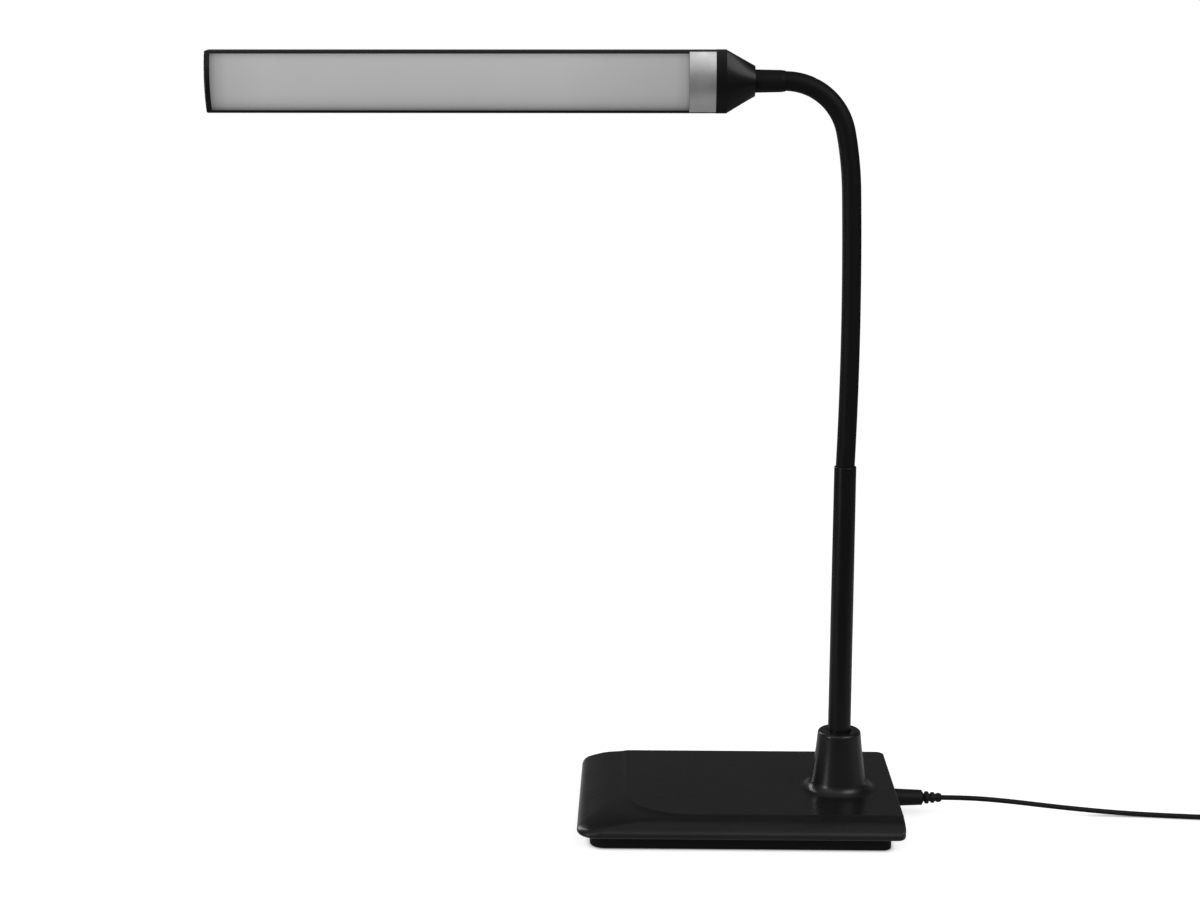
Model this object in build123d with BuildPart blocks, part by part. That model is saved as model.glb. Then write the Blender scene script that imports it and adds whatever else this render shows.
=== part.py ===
"""Gooseneck desk lamp: weighted base, jointed flexible neck, swivelling LED bar head and power lead.

Millimetres. X runs along the base, Y away from the user, Z up.
The origin is the middle of the base's footprint, on the table.
"""

from build123d import *
from math import cos, pi, radians, sin, tan
import os

# ---------------------------------------------------------------- driving dimensions
# Base
base_length = 188.6
base_depth = 127.0
rim_bottom = 8.5
rim_top = 10.4
base_top = 18.2
front_shoulder = 21.5
left_shoulder = 36.0
rim_left_radius = 12.0
rim_right_radius = 5.0
plateau_extra_radius = 30.0
shoulder_sections = 7
shell_wall = 2.2
square_edge_round = 0.8
rim_edge_round = 1.8
cut_past = 1.0

tray_recess = 7.4
tray_bottom = 0.4
tray_floor = 2.0
tray_wall = 2.0
tray_left_radius = 9.0
tray_right_radius = 5.0
tray_flange_inset = 1.6
tray_flange_thickness = 1.4
tray_flange_gap = 0.1
tray_edge_round = 0.5

pad_margin = 5.5
pad_corner = 7.0
pad_seat = 0.4
pad_edge_round = 0.3

base_screw_inset_x = 18.8
base_screw_inset_y = 18.5
boss_diameter = 7.0
landing_diameter = 8.0
landing_height = 2.0
rib_thickness = 1.6
screw_diameter = 3.0
screw_head_diameter = 5.4
screw_head_height = 1.2
screw_gap = 0.2
driver_slot_length = 3.2
driver_slot_width = 0.8
base_screw_length = 9.0
pilot_extra = 0.5

weight_end_gap = 7.0
weight_side_gap = 14.1
weight_thickness = 5.0
weight_corner = 4.0
weight_post_gap = 26.0
fence_thickness = 1.6
fence_length = 20.0
fence_height = 3.0

# Socket and rigid post
post_inset = 33.8
socket_top = 53.9
socket_top_radius = 12.6
socket_middle_radius = 14.5
socket_foot_radius = 17.5
socket_fillet = 6.5
socket_rim_round = 1.8
socket_bore = 14.4
socket_floor = 20.5

post_top = 214.0
post_foot_diameter = 13.7
post_top_diameter = 12.8
post_rim_round = 0.6
tube_diameter = 8.0
tube_bore = 5.0
tube_below_top = 9.0
tube_below_nut = 0.8
post_nut_width = 13.0
post_nut_height = 3.0
post_washer_diameter = 17.0
post_washer_thickness = 1.4
tube_hole_gap = 0.1

# Flexible neck: a long run that bows slightly, a wide arc and a tight arc up to the ferrule
neck_diameter = 11.0
hose_diameter = 8.0
hose_bore = 4.8
joint_gap = 0.35
bow_top = 372.2
bow_angle = 3.74
bow_links = 5
wide_arc_radius = 206.0
wide_arc_angle = 9.44
wide_arc_links = 2
tight_arc_radius = 35.3
tight_arc_links = 3
wire_diameter = 2.0

# Ferrule and swivel
ferrule_length = 16.8
ferrule_neck_diameter = 12.3
ferrule_head_diameter = 12.9
ferrule_taper = 2.3
ferrule_lip = 0.3
neck_in_ferrule = 9.0
spindle_diameter = 6.0
spindle_bore = 3.0
spindle_flange_diameter = 9.0
spindle_flange_thickness = 2.0
spindle_past_nut = 1.5
swivel_radial_gap = 0.05
swivel_face_gap = 0.2
swivel_washer_diameter = 11.0
swivel_washer_thickness = 0.8
swivel_nut_width = 10.0
swivel_nut_height = 2.5
swivel_play = 0.05

# Head: a long light bar on the X axis
head_tilt = 3.0
head_height = 34.7
head_front = 7.6
head_bulge = 3.8
head_back_edge = 4.5
head_back = 11.5
head_front_round = 1.2
head_back_round = 5.0
cone_tip_diameter = 17.0
cone_length = 16.1
cone_tip_wall = 3.0
cone_wall = 1.8
flange_length = 5.7
flange_proud = 0.1
band_length = 15.2
bar_length = 267.8
cap_length = 3.5
cap_round = 1.2
head_wall = 1.7
spigot_gap = 0.1
spigot_length = 8.0
spigot_wall = 1.4
ledge_gap = 0.2
head_screw_boss = 1.4
head_screw_sink = 1.0
head_screw_inset = 4.0
cap_spigot_length = 6.0

diffuser_thickness = 1.5
diffuser_leg = 5.0
diffuser_proud = 0.2
snap_groove = 0.6
snap_height = 1.4
snap_gap = 0.1
snap_depth = 5.5
ledge_front = -0.4
ledge_thickness = 1.4
ledge_width = 2.2

led_board_thickness = 1.2
led_board_margin = 0.3
led_board_end_gap = 3.0
led_length = 3.5
led_width = 2.8
led_height = 0.8
led_rows = 2
leds_per_row = 24
led_row_spacing = 12.0
led_pitch = 10.8
board_screw_length = 4.0
board_screw_diameter = 2.0
board_screw_head = 3.6
board_screw_head_height = 1.2
led_screws = 3
led_pillar_diameter = 5.0

plate_thickness = 1.2
plate_proud = 0.15
plate_edge = 0.7
plate_chamfer = 0.2
touch_board_front = 3.0
touch_board_thickness = 1.0
touch_board_height = 24.0
touch_board_length = 10.0
touch_post_width = 3.0
contact_diameter = 3.0

# Electronics in the base and the power inlet
lead_axis_z = 11.8
board_length = 11.2
board_front = -30.0
board_back = 26.0
board_thickness = 1.6
board_edge_gap = 0.4
board_screw_spacing = 34.0
board_screw_middle = 3.0
pillar_diameter = 5.0
connector_width = 5.0
connector_depth = 5.0
connector_height = 4.0
connector_edge = 0.5
chip_y = 12.0
chip_width = 5.0
chip_height = 1.2
capacitor_y = -8.0
capacitor_diameter = 5.0
capacitor_height = 5.4
jack_length = 14.0
jack_width = 9.0
jack_height = 7.0
jack_gap = 0.4
jack_round = 0.6
barrel_diameter = 5.5
barrel_bore = 2.1
barrel_length = 9.5
barrel_gap = 0.05
jack_pin_diameter = 1.9
inlet_hole_diameter = 7.2

plug_diameter = 10.3
plug_end_diameter = 9.0
plug_length = 17.4
plug_edge_round = 0.8
plug_shoulder = 1.2
plug_root = 4.0
relief_root_diameter = 4.6
relief_ribs = 3
relief_rib_pitch = 3.5
relief_rib_width = 2.5
relief_rib_diameter = 7.4
relief_rib_step = 0.9
relief_rib_round = 0.8

# Lamp wire: its laid points in the base, from the post's foot, and in the head, from the spindle's end
wire_rise = 1.2
base_wire_run = 6.6
base_wire_bends = [(3.2, -21.8, 2.8), (0.5, -13.8, 1.2)]
head_wire_bends = [(10.0, 0.0), (24.0, -3.0), (40.0, -4.0)]
head_wire_on_board = 20.0

# Power lead: route points of the two stretches that are not coiled
cord_diameter = 3.0
coil_radius = 16.5
coil_columns = 3
coil_layers = 4
coil_edge_round = 1.4
coil_x = 352.0
lead_route = [
    (122.2, 0.0, 11.8),
    (138.0, 0.0, 11.8),
    (162.0, -0.8, 10.2),
    (194.0, 1.4, 5.6),
    (232.0, 3.0, 1.5),
    (272.0, -1.8, 1.5),
    (308.0, -4.0, 1.5),
    (331.0, -0.6, 1.5),
    (352.0, 0.5, 1.5),
]
tail_route = [
    (352.0, 0.5, 10.5),
    (373.0, 1.5, 8.2),
    (396.0, 5.5, 2.0),
    (420.0, 10.0, 1.5),
    (442.0, 12.0, 5.5),
    (460.0, 12.0, 13.0),
    (478.0, 12.0, 13.0),
]
adapter_length = 62.0
adapter_width = 34.0
adapter_height = 26.0
adapter_round = 4.0
adapter_edge_round = 2.0
adapter_relief_taper = 8.0
adapter_relief_length = 9.0
adapter_relief_diameter = 4.6
prong_length = 16.0
prong_width = 6.3
prong_thickness = 1.5
prong_spacing = 12.7
prong_root = 5.0
prong_chamfer = 0.5

# ---------------------------------------------------------------- derived places
quarter_turn = 90
base_right = base_length / 2
base_left = -base_length / 2
base_front = -base_depth / 2
base_back = base_depth / 2
tray_inside = tray_recess + tray_wall
tray_inside_left = base_left + tray_inside
pad_length = base_length - 2 * (tray_recess + pad_margin)
pad_depth = base_depth - 2 * (tray_recess + pad_margin)
post_x = base_right - post_inset
weight_left = tray_inside_left + weight_end_gap
weight_right = post_x - weight_post_gap
weight_length = weight_right - weight_left
weight_x = (weight_left + weight_right) / 2
weight_depth = base_depth - 2 * (tray_inside + weight_side_gap)
shoulder_rise = base_top - rim_top
ceiling = base_top - shell_wall
floor_top = tray_bottom + tray_floor
neck_radius = neck_diameter / 2
seat_radius = neck_radius + joint_gap
first_pivot_z = post_top + (seat_radius**2 - neck_radius**2) ** 0.5
coil_y = lead_route[-1][1] + coil_radius + cord_diameter

bow_radius = (bow_top - first_pivot_z) / (2 * sin(radians(bow_angle / 2)))
wide_start = radians(bow_angle / 2)
wide_end = radians(bow_angle / 2 + wide_arc_angle)
tight_arc_angle = quarter_turn - bow_angle / 2 - wide_arc_angle
wide_shift = wide_arc_radius * (cos(wide_start) - cos(wide_end))
wide_rise = wide_arc_radius * (sin(wide_end) - sin(wide_start))
tight_shift = tight_arc_radius * cos(wide_end)
tight_rise = tight_arc_radius * (1 - sin(wide_end))
head_z = bow_top + wide_rise + tight_rise
ferrule_right = post_x - wide_shift - tight_shift
ferrule_left = ferrule_right - ferrule_length
tip_x = ferrule_left - swivel_face_gap
flange_x = tip_x - cone_length
band_x = flange_x - flange_length
bar_x = band_x - band_length
cap_x = bar_x - bar_length
channel_half = head_height / 2 - head_wall
plate_half = head_height / 2 - plate_edge
contact_x = band_x - band_length / 2
leg_middle = head_front - diffuser_leg / 2
touch_post_depth = touch_board_front - touch_board_thickness + head_back - cone_wall
touch_post_middle = touch_board_front - touch_board_thickness - touch_post_depth / 2
head_screw_x = (bar_x - head_screw_inset, cap_x + head_screw_inset)
led_screw_x = [bar_x - bar_length * (number + 1) / (led_screws + 1) for number in range(led_screws)]

flange_bottom = rim_bottom + tray_flange_gap
flange_inset = shell_wall + tray_flange_inset
nut_top = ceiling - post_washer_thickness
nut_bottom = nut_top - post_nut_height
tube_bottom = nut_bottom - tube_below_nut
tube_top = post_top - tube_below_top
board_right = base_right - tray_inside - board_edge_gap
board_left = board_right - board_length
board_bottom = lead_axis_z - jack_height / 2 - board_thickness
board_top = board_bottom + board_thickness
board_middle_x = (board_left + board_right) / 2
connector_x = board_middle_x
connector_y = board_front + connector_edge + connector_depth / 2
relief_length = relief_ribs * relief_rib_pitch

on_centre = (Align.CENTER, Align.CENTER, Align.NONE)

os.makedirs("parts", exist_ok=True)
pieces = []


def keep(builder, name):
    """Label a finished piece and write it to its own STEP file."""
    builder.part.label = name
    export_step(builder.part, f"parts/{name}.step")
    pieces.append(name)


def nearest_corner(corners, across, up):
    """The corner of a profile that lies nearest to a point of its plane."""
    return corners.sort_by(lambda corner: (corner.X - across) ** 2 + (corner.Y - up) ** 2)[0]


def bend_radii(points):
    """The arc radius at each inner point: as large as its two runs allow."""
    route = [Vector(*point) for point in points]
    radii = []
    for before, here, after in zip(route, route[1:], route[2:]):
        turn = (here - before).get_angle(after - here)
        shorter = min((here - before).length, (after - here).length)
        radii.append(0.45 * shorter / tan(radians(turn / 2)))
    return radii


def tube_along(points, diameter):
    """A round bar along straight runs joined by tangent arcs."""
    with BuildPart() as tube:
        with BuildLine() as path:
            FilletPolyline(*points, radius=bend_radii(points))
        route = path.wire()
        with BuildSketch(Plane(origin=route @ 0, z_dir=route % 0)):
            Circle(diameter / 2)
        sweep(path=route)
    drawn = tube.part.volume / (pi * diameter**2 / 4 * route.length)
    print(f"tube of {route.length:.1f} mm, volume over section times length {drawn:.4f}")
    print("  radii", [round(radius, 1) for radius in bend_radii(points)])
    return tube


# ---------------------------------------------------------------- base
def plan_outline(height, inset, left_radius, right_radius):
    """The base seen from above, drawn in by inset, with its largest corner radius at the front left."""
    with BuildSketch(Plane.XY.offset(height)) as plan:
        Rectangle(base_length - 2 * inset, base_depth - 2 * inset)
        corners = plan.vertices().sort_by(lambda corner: corner.X + corner.Y)
        fillet(corners[1:], right_radius)
        fillet(plan.vertices().sort_by(lambda corner: corner.X + corner.Y)[0], left_radius)
    return plan.sketch


def shoulder_form(inset, drop):
    """The moulded top's form: elliptic shoulders at the front and left that blend round their corner."""
    with BuildPart() as form:
        for step in range(shoulder_sections):
            angle = radians(quarter_turn * step / (shoulder_sections - 1))
            reach = 1 - cos(angle)
            left = base_left + inset + left_shoulder * reach
            front = base_front + inset + front_shoulder * reach
            with BuildSketch(Plane.XY.offset(rim_top - drop + shoulder_rise * sin(angle))):
                with BuildLine():
                    Polyline(
                        (left, front),
                        (base_right, front),
                        (base_right, base_back),
                        (left, base_back),
                        close=True,
                    )
                make_face()
                corner = vertices().sort_by(lambda point: point.X + point.Y)[0]
                fillet(corner, rim_left_radius - inset + plateau_extra_radius * reach)
        loft()
    return form.part


def housing_form(inset, drop, bottom, edge_round=0.0):
    """The form above its rim, cut square at the right and back by the plan outline."""
    with BuildPart() as form:
        add(plan_outline(bottom, inset, rim_left_radius - inset, rim_right_radius - inset))
        extrude(amount=rim_top - drop - bottom)
        if edge_round:
            fillet(faces().sort_by(Axis.Z)[0].edges(), edge_round)
        add(shoulder_form(inset, drop))
        add(plan_outline(bottom, inset, rim_left_radius - inset, rim_right_radius - inset))
        extrude(amount=base_top - drop - bottom, mode=Mode.INTERSECT)
    return form.part


base_screw_places = GridLocations(
    base_length - 2 * base_screw_inset_x, base_depth - 2 * base_screw_inset_y, 2, 2
)
board_screw_places = Locations(
    (board_middle_x, board_screw_middle - board_screw_spacing / 2),
    (board_middle_x, board_screw_middle + board_screw_spacing / 2),
)
post_axis = Axis((post_x, 0, 0), (0, 0, 1))
post_plane = Plane(origin=(post_x, 0, 0), x_dir=(1, 0, 0), z_dir=(0, -1, 0))
inlet_plane = Plane(origin=(base_right, 0, lead_axis_z), x_dir=(0, 1, 0), z_dir=(1, 0, 0))
inner_wall_x = base_right - shell_wall

with BuildPart() as base_housing:
    add(housing_form(0, 0, rim_bottom, rim_edge_round))
    square_edges = edges().filter_by(lambda edge: edge.center().Z > rim_top + cut_past)
    right_edges = square_edges.filter_by(lambda edge: abs(edge.center().X - base_right) < 0.01)
    back_edges = square_edges.filter_by(lambda edge: abs(edge.center().Y - base_back) < 0.01)
    fillet(right_edges + back_edges, square_edge_round)
    add(housing_form(shell_wall, shell_wall, rim_bottom - cut_past), mode=Mode.SUBTRACT)
    # bosses for the screws, and ribs that hold the counterweight down
    with BuildSketch(Plane.XY.offset(floor_top + landing_height)):
        with base_screw_places:
            Circle(boss_diameter / 2)
    extrude(amount=ceiling - floor_top - landing_height)
    with BuildSketch(Plane.XY.offset(floor_top + weight_thickness)):
        with Locations((weight_x, 0)):
            with GridLocations(0, weight_depth / 2, 1, 2):
                Rectangle(weight_length / 2, rib_thickness)
    extrude(amount=ceiling - floor_top - weight_thickness)
    # the socket grows out of the top
    with BuildSketch(post_plane):
        with BuildLine():
            Line((socket_foot_radius, base_top), (socket_foot_radius + 2 * socket_fillet, base_top))
            ThreePointArc(
                (socket_foot_radius, base_top),
                (socket_middle_radius, (base_top + socket_top) / 2),
                (socket_top_radius, socket_top),
            )
            Polyline(
                (socket_top_radius, socket_top),
                (0, socket_top),
                (0, ceiling),
                (socket_foot_radius + 2 * socket_fillet, ceiling),
                (socket_foot_radius + 2 * socket_fillet, base_top),
            )
        make_face()
        fillet(nearest_corner(vertices(), socket_foot_radius, base_top), socket_fillet)
        fillet(nearest_corner(vertices(), socket_top_radius, socket_top), socket_rim_round)
    revolve(axis=post_axis)
    with BuildSketch(Plane.XY.offset(socket_floor)):
        with Locations((post_x, 0)):
            Circle(socket_bore / 2)
    extrude(amount=socket_top - socket_floor, mode=Mode.SUBTRACT)
    with BuildSketch(Plane.XY.offset(ceiling)):
        with Locations((post_x, 0)):
            Circle(tube_diameter / 2 + tube_hole_gap)
    extrude(amount=socket_floor - ceiling, mode=Mode.SUBTRACT)
    # screw pilots and the power inlet
    with BuildSketch(Plane.XY.offset(floor_top + landing_height)):
        with base_screw_places:
            Circle(screw_diameter / 2)
    extrude(amount=base_screw_length - landing_height + pilot_extra, mode=Mode.SUBTRACT)
    with BuildSketch(inlet_plane):
        Circle(inlet_hole_diameter / 2)
    extrude(amount=-shell_wall, mode=Mode.SUBTRACT)
keep(base_housing, "base_housing")

with BuildPart() as base_plate:
    add(plan_outline(tray_bottom, tray_recess, tray_left_radius, tray_right_radius))
    extrude(amount=flange_bottom - tray_bottom)
    fillet(faces().sort_by(Axis.Z)[0].edges(), tray_edge_round)
    add(plan_outline(flange_bottom, flange_inset, rim_left_radius - flange_inset, rim_right_radius))
    extrude(amount=tray_flange_thickness)
    add(plan_outline(floor_top, tray_inside, tray_left_radius - tray_wall, tray_right_radius - tray_wall))
    extrude(amount=flange_bottom + tray_flange_thickness - floor_top, mode=Mode.SUBTRACT)
    # landings under the housing's bosses, pillars under the board and fences round the counterweight
    with BuildSketch(Plane.XY.offset(floor_top)):
        with base_screw_places:
            Circle(landing_diameter / 2)
    extrude(amount=landing_height)
    with BuildSketch(Plane.XY.offset(floor_top)):
        with board_screw_places:
            Circle(pillar_diameter / 2)
    extrude(amount=board_bottom - floor_top)
    with BuildSketch(Plane.XY.offset(floor_top)):
        with Locations((weight_x, 0)):
            with GridLocations(weight_length + fence_thickness, 0, 2, 1):
                Rectangle(fence_thickness, fence_length)
            with GridLocations(0, weight_depth + fence_thickness, 1, 2):
                Rectangle(fence_length, fence_thickness)
    extrude(amount=fence_height)
    # screw holes from below, pillar pilots, the pad's seat and a notch for the power inlet
    with BuildSketch(Plane.XY.offset(tray_bottom)):
        with base_screw_places:
            Circle(screw_head_diameter / 2 + screw_gap)
    extrude(amount=tray_floor, mode=Mode.SUBTRACT)
    with BuildSketch(Plane.XY.offset(tray_bottom)):
        with base_screw_places:
            Circle(screw_diameter / 2 + screw_gap)
    extrude(amount=tray_floor + landing_height, mode=Mode.SUBTRACT)
    with BuildSketch(Plane.XY.offset(board_bottom)):
        with board_screw_places:
            Circle(board_screw_diameter / 2)
    extrude(amount=board_thickness - board_screw_length, mode=Mode.SUBTRACT)
    with BuildSketch(Plane.XY.offset(tray_bottom)):
        RectangleRounded(pad_length, pad_depth, pad_corner)
    extrude(amount=pad_seat, mode=Mode.SUBTRACT)
    with BuildSketch(Plane.XY.offset(lead_axis_z - jack_height / 2 - jack_gap)):
        with Locations((base_right - tray_recess, 0)):
            Rectangle(2 * tray_recess, jack_width + 2 * jack_gap)
    extrude(amount=jack_height, mode=Mode.SUBTRACT)
keep(base_plate, "base_plate")

with BuildPart() as rubber_pad:
    with BuildSketch():
        RectangleRounded(pad_length, pad_depth, pad_corner)
    extrude(amount=tray_bottom + pad_seat)
    fillet(faces().sort_by(Axis.Z)[0].edges(), pad_edge_round)
keep(rubber_pad, "rubber_pad")


with BuildPart() as base_screws:
    with BuildSketch(Plane.XY.offset(floor_top)):
        with base_screw_places:
            Circle(screw_diameter / 2)
    extrude(amount=base_screw_length)
    with BuildSketch(Plane.XY.offset(floor_top - screw_head_height)):
        with base_screw_places:
            Circle(screw_head_diameter / 2)
    extrude(amount=screw_head_height)
    with BuildSketch(Plane.XY.offset(floor_top - screw_head_height)):
        with base_screw_places:
            Rectangle(driver_slot_length, driver_slot_width)
            Rectangle(driver_slot_width, driver_slot_length)
    extrude(amount=screw_head_height / 2, mode=Mode.SUBTRACT)
keep(base_screws, "base_screws")

with BuildPart() as counterweight:
    with BuildSketch(Plane.XY.offset(floor_top)):
        with Locations((weight_x, 0)):
            RectangleRounded(weight_length, weight_depth, weight_corner)
    extrude(amount=weight_thickness)
keep(counterweight, "counterweight")


# ---------------------------------------------------------------- electronics in the base
with BuildPart() as control_board:
    with BuildSketch(Plane.XY.offset(board_bottom)):
        with Locations((board_middle_x, (board_front + board_back) / 2)):
            Rectangle(board_right - board_left, board_back - board_front)
        with board_screw_places:
            Circle(board_screw_diameter / 2 + screw_gap, mode=Mode.SUBTRACT)
    extrude(amount=board_thickness)
keep(control_board, "control_board")

with BuildPart() as board_screws:
    with BuildSketch(Plane.XY.offset(board_top)):
        with board_screw_places:
            Circle(board_screw_diameter / 2)
    extrude(amount=-board_screw_length)
    with BuildSketch(Plane.XY.offset(board_top)):
        with board_screw_places:
            Circle(board_screw_head / 2)
    extrude(amount=board_screw_head_height)
keep(board_screws, "board_screws")

with BuildPart() as board_components:
    with BuildSketch(Plane.XY.offset(board_top)):
        with Locations((connector_x, connector_y)):
            Rectangle(connector_width, connector_depth)
    extrude(amount=connector_height)
    with BuildSketch(Plane.XY.offset(board_top)):
        with Locations((connector_x, chip_y)):
            Rectangle(chip_width, chip_width)
    extrude(amount=chip_height)
    with BuildSketch(Plane.XY.offset(board_top)):
        with Locations((connector_x, capacitor_y)):
            Circle(capacitor_diameter / 2)
    extrude(amount=capacitor_height)
keep(board_components, "board_components")

with BuildPart() as dc_jack:
    with BuildSketch(Plane.XY.offset(lead_axis_z - jack_height / 2)):
        with Locations((inner_wall_x - jack_length / 2, 0)):
            Rectangle(jack_length, jack_width)
    extrude(amount=jack_height)
    fillet(edges().filter_by(Axis.X).group_by(Axis.Z)[-1], jack_round)
    with BuildSketch(inlet_plane.offset(-shell_wall)):
        Circle(barrel_diameter / 2 + barrel_gap)
        Circle(jack_pin_diameter / 2, mode=Mode.SUBTRACT)
    extrude(amount=-barrel_length, mode=Mode.SUBTRACT)
keep(dc_jack, "dc_jack")

with BuildPart() as plug_barrel:
    with BuildSketch(inlet_plane.offset(plug_root)):
        Circle(barrel_diameter / 2)
        Circle(barrel_bore / 2, mode=Mode.SUBTRACT)
    extrude(amount=-barrel_length - plug_root)
keep(plug_barrel, "plug_barrel")

lead_plane = Plane(origin=(base_right, 0, lead_axis_z), x_dir=(1, 0, 0), z_dir=(0, -1, 0))
lead_axis = Axis((base_right, 0, lead_axis_z), (1, 0, 0))
with BuildPart() as plug_body:
    with BuildSketch(lead_plane):
        with BuildLine():
            Polyline(
                (0, 0),
                (0, plug_diameter / 2),
                (plug_length - plug_shoulder, plug_end_diameter / 2),
                (plug_length, relief_root_diameter / 2),
                (plug_length, 0),
                close=True,
            )
        make_face()
        fillet(nearest_corner(vertices(), 0, plug_diameter / 2), plug_edge_round)
        with Locations((plug_length + relief_length / 2, relief_root_diameter / 4)):
            Rectangle(relief_length, relief_root_diameter / 2)
        for rib in range(relief_ribs):
            rib_radius = relief_rib_diameter / 2 - rib * relief_rib_step / 2
            with Locations((plug_length + relief_rib_pitch * (rib + 0.5), rib_radius / 2)):
                RectangleRounded(relief_rib_width, rib_radius, relief_rib_round)
    revolve(axis=lead_axis)
    with BuildSketch(inlet_plane):
        Circle(barrel_diameter / 2)
    extrude(amount=plug_root, mode=Mode.SUBTRACT)
keep(plug_body, "plug_body")


# ---------------------------------------------------------------- rigid post
with BuildPart() as post_tube:
    with BuildSketch(Plane.XY.offset(tube_bottom)):
        with Locations((post_x, 0)):
            Circle(tube_diameter / 2)
            Circle(tube_bore / 2, mode=Mode.SUBTRACT)
    extrude(amount=tube_top - tube_bottom)
keep(post_tube, "post_tube")

with BuildPart() as post_washer:
    with BuildSketch(Plane.XY.offset(nut_top)):
        with Locations((post_x, 0)):
            Circle(post_washer_diameter / 2)
            Circle(tube_diameter / 2, mode=Mode.SUBTRACT)
    extrude(amount=post_washer_thickness)
keep(post_washer, "post_washer")

with BuildPart() as post_nut:
    with BuildSketch(Plane.XY.offset(nut_bottom)):
        with Locations((post_x, 0)):
            RegularPolygon(post_nut_width / 2, 6, major_radius=False)
            Circle(tube_diameter / 2, mode=Mode.SUBTRACT)
    extrude(amount=post_nut_height)
keep(post_nut, "post_nut")

with BuildPart() as post_sleeve:
    with BuildSketch(post_plane):
        with BuildLine():
            Polyline(
                (tube_diameter / 2, socket_floor),
                (post_foot_diameter / 2, socket_floor),
                (post_top_diameter / 2, post_top),
                (hose_bore / 2, post_top),
                (hose_bore / 2, tube_top),
                (tube_diameter / 2, tube_top),
                close=True,
            )
        make_face()
        fillet(nearest_corner(vertices(), post_top_diameter / 2, post_top), post_rim_round)
    revolve(axis=post_axis)
    with Locations((post_x, 0, first_pivot_z)):
        Sphere(seat_radius, mode=Mode.SUBTRACT)
keep(post_sleeve, "post_sleeve")


# ---------------------------------------------------------------- flexible neck
def neck_links():
    """Start x and z, heading from upright, bend radius and turn of each link."""
    links = []
    x, z, heading = post_x, first_pivot_z, -bow_angle / 2
    arcs = (
        (bow_radius, bow_angle / bow_links, bow_links),
        (wide_arc_radius, wide_arc_angle / wide_arc_links, wide_arc_links),
        (tight_arc_radius, tight_arc_angle / tight_arc_links, tight_arc_links),
    )
    for radius, turn, count in arcs:
        for _ in range(count):
            links.append((x, z, heading, radius, turn))
            x -= radius * (cos(radians(heading)) - cos(radians(heading + turn)))
            z += radius * (sin(radians(heading + turn)) - sin(radians(heading)))
            heading += turn
    return links


def link_path(link, lead_in, lead_out):
    """A link's centreline, with straight leads before its pivot and after its end."""
    x, z, heading, radius, turn = link
    along = Vector(-sin(radians(heading)), 0, cos(radians(heading)))
    start = Vector(x, 0, z)
    with BuildLine(Plane.XZ) as path:
        if lead_in:
            Line(start - along * lead_in, start)
        body = JernArc(start, along, radius, turn)
        if lead_out:
            Line(body @ 1, (body @ 1) + (body % 1) * lead_out)
    return path.wire()


def round_bar(path, diameter):
    """A solid of circular section along a path."""
    with BuildPart() as bar:
        with BuildSketch(Plane(origin=path @ 0, z_dir=path % 0)):
            Circle(diameter / 2)
        sweep(path=path)
    return bar.part


def link_form(number):
    """One link's outer form: a dome round its own pivot and a hollow seat round the next one."""
    link = links[number]
    last = number == len(links) - 1
    path = link_path(link, 0, neck_in_ferrule if last else 0)
    dome_plane = Plane(origin=path @ 0, z_dir=path % 0)
    with BuildPart() as form:
        add(round_bar(path, neck_diameter))
        with Locations(dome_plane.location):
            Sphere(neck_radius, arc_size1=-quarter_turn, arc_size2=0, align=on_centre)
        if not last:
            with Locations(Location(path @ 1)):
                Sphere(seat_radius, mode=Mode.SUBTRACT)
    return form.part


links = neck_links()
for number, link in enumerate(links):
    form = link_form(number)
    reach = neck_in_ferrule if number == len(links) - 1 else 0
    core_path = link_path(link, neck_diameter, reach)
    with BuildPart() as neck_sleeve:
        add(form)
        add(round_bar(core_path, hose_diameter), mode=Mode.SUBTRACT)
    keep(neck_sleeve, f"neck_sleeve_{number + 1}")
    with BuildPart() as neck_hose:
        add(form)
        add(round_bar(core_path, hose_diameter), mode=Mode.INTERSECT)
        add(round_bar(core_path, hose_bore), mode=Mode.SUBTRACT)
    keep(neck_hose, f"neck_hose_{number + 1}")


def turned(profile, name):
    """A piece turned about the head's axis from points of x and radius."""
    with BuildPart() as piece:
        with BuildSketch(Plane(origin=(0, 0, head_z), x_dir=(1, 0, 0), z_dir=(0, -1, 0))):
            with BuildLine():
                Polyline(*profile, close=True)
            make_face()
        revolve(axis=Axis((0, 0, head_z), (1, 0, 0)))
    keep(piece, name)


neck_end = ferrule_right - neck_in_ferrule
flange_end = neck_end - spindle_flange_thickness
turned(
    (
        (ferrule_right, neck_diameter / 2),
        (ferrule_right, neck_diameter / 2 + ferrule_lip),
        (ferrule_right - ferrule_taper, ferrule_neck_diameter / 2),
        (ferrule_left, ferrule_head_diameter / 2),
        (ferrule_left, spindle_diameter / 2),
        (flange_end, spindle_diameter / 2),
        (flange_end, spindle_flange_diameter / 2),
        (neck_end, spindle_flange_diameter / 2),
        (neck_end, neck_diameter / 2),
    ),
    "neck_ferrule",
)

washer_right = tip_x - cone_tip_wall - swivel_play
nut_right = washer_right - swivel_washer_thickness
nut_left = nut_right - swivel_nut_height
spindle_left = nut_left - spindle_past_nut
turned(
    (
        (neck_end, spindle_bore / 2),
        (neck_end, spindle_flange_diameter / 2),
        (flange_end, spindle_flange_diameter / 2),
        (flange_end, spindle_diameter / 2),
        (spindle_left, spindle_diameter / 2),
        (spindle_left, spindle_bore / 2),
    ),
    "swivel_spindle",
)
turned(
    (
        (washer_right, spindle_diameter / 2),
        (washer_right, swivel_washer_diameter / 2),
        (nut_right, swivel_washer_diameter / 2),
        (nut_right, spindle_diameter / 2),
    ),
    "swivel_washer",
)


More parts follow.
